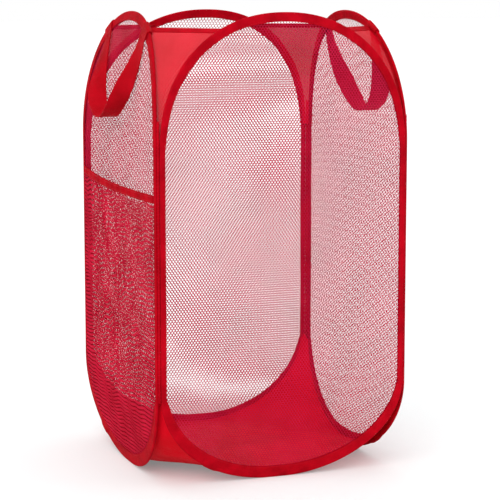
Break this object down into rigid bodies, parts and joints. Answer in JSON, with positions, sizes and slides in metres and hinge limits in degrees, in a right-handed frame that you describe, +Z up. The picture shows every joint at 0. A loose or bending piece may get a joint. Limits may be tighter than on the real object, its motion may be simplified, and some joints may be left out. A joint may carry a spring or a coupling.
{
  "type": "pop up laundry hamper",
  "caption": "Tall pop up laundry hamper: net sides on spring wire loops, cloth base and corner gussets, side pocket and webbing handles.",
  "frame": {"origin": "the middle of the space that the hamper takes up on the floor, at the height of the floor", "axes": "+Z up; -Y towards the front side; -X towards the side with the pocket; both handles are on the X sides"},
  "size_m": [0.3999, 0.3462, 0.606],
  "materials": {
    "spring_wire": "drawn spring steel",
    "ferrule": "crimped, dull",
    "tape": "woven nylon tape",
    "net": "knitted polyester net",
    "nylon": "thin woven nylon",
    "webbing": "ribbed webbing"
  },
  "bodies": {
    "front": {"wire_loop_front": "spring_wire", "wire_ferrule_front": "ferrule", "binding_front": "tape", "net_front": "net", "corner_seam_front_right": "tape", "top_gusset_front_right": "nylon", "gusset_hem_front_right": "tape", "corner_seam_left_front": "tape", "top_gusset_left_front": "nylon", "gusset_hem_left_front": "tape", "base_cloth": "nylon"},
    "left": {"wire_loop_left": "spring_wire", "wire_ferrule_left": "ferrule", "binding_left": "tape", "net_left": "net", "corner_seam_back_left": "tape", "top_gusset_back_left": "nylon", "gusset_hem_back_left": "tape", "pocket_net": "net", "pocket_hem": "tape", "handle_end_left_1": "webbing", "handle_end_left_2": "webbing"},
    "right": {"wire_loop_right": "spring_wire", "wire_ferrule_right": "ferrule", "binding_right": "tape", "net_right": "net", "corner_seam_right_back": "tape", "top_gusset_right_back": "nylon", "gusset_hem_right_back": "tape", "handle_end_right_1": "webbing", "handle_end_right_2": "webbing"},
    "back": {"wire_loop_back": "spring_wire", "wire_ferrule_back": "ferrule", "binding_back": "tape", "net_back": "net"},
    "left_handle": {"handle_strap_left": "webbing"},
    "right_handle": {"handle_strap_right": "webbing"}
  },
  "joints": [
    {"name": "left_fold", "type": "hinge", "parent": "front", "child": "left", "pos_m": [-0.1685, -0.1685, 0.3], "axis": [0, 0, -1], "range_deg": [0, 60], "stiffness_Nm_per_rad": 0.5, "deforming": ["base_cloth", "top_gusset_front_right", "gusset_hem_front_right", "top_gusset_right_back", "gusset_hem_right_back", "top_gusset_back_left", "gusset_hem_back_left", "top_gusset_left_front", "gusset_hem_left_front"]},
    {"name": "right_fold", "type": "hinge", "parent": "front", "child": "right", "pos_m": [0.1685, -0.1685, 0.3], "axis": [0, 0, -1], "range_deg": [0, 60], "deforming": ["base_cloth", "top_gusset_front_right", "gusset_hem_front_right", "top_gusset_right_back", "gusset_hem_right_back", "top_gusset_back_left", "gusset_hem_back_left", "top_gusset_left_front", "gusset_hem_left_front"]},
    {"name": "back_fold", "type": "hinge", "parent": "left", "child": "back", "pos_m": [-0.1685, 0.1685, 0.3], "axis": [0, 0, 1], "range_deg": [0, 60], "deforming": ["base_cloth", "top_gusset_front_right", "gusset_hem_front_right", "top_gusset_right_back", "gusset_hem_right_back", "top_gusset_back_left", "gusset_hem_back_left", "top_gusset_left_front", "gusset_hem_left_front"]},
    {"name": "left_handle_swing", "type": "hinge", "parent": "left", "child": "left_handle", "pos_m": [-0.1725, 0, 0.573], "axis": [0, 1, 0], "range_deg": [0, 170]},
    {"name": "right_handle_swing", "type": "hinge", "parent": "right", "child": "right_handle", "pos_m": [0.177, 0, 0.573], "axis": [0, -1, 0], "range_deg": [0, 170]}
  ],
  "couplings": [
    {"joint": "right_fold", "follows": "left_fold", "ratio": 1},
    {"joint": "back_fold", "follows": "left_fold", "ratio": 1}
  ]
}
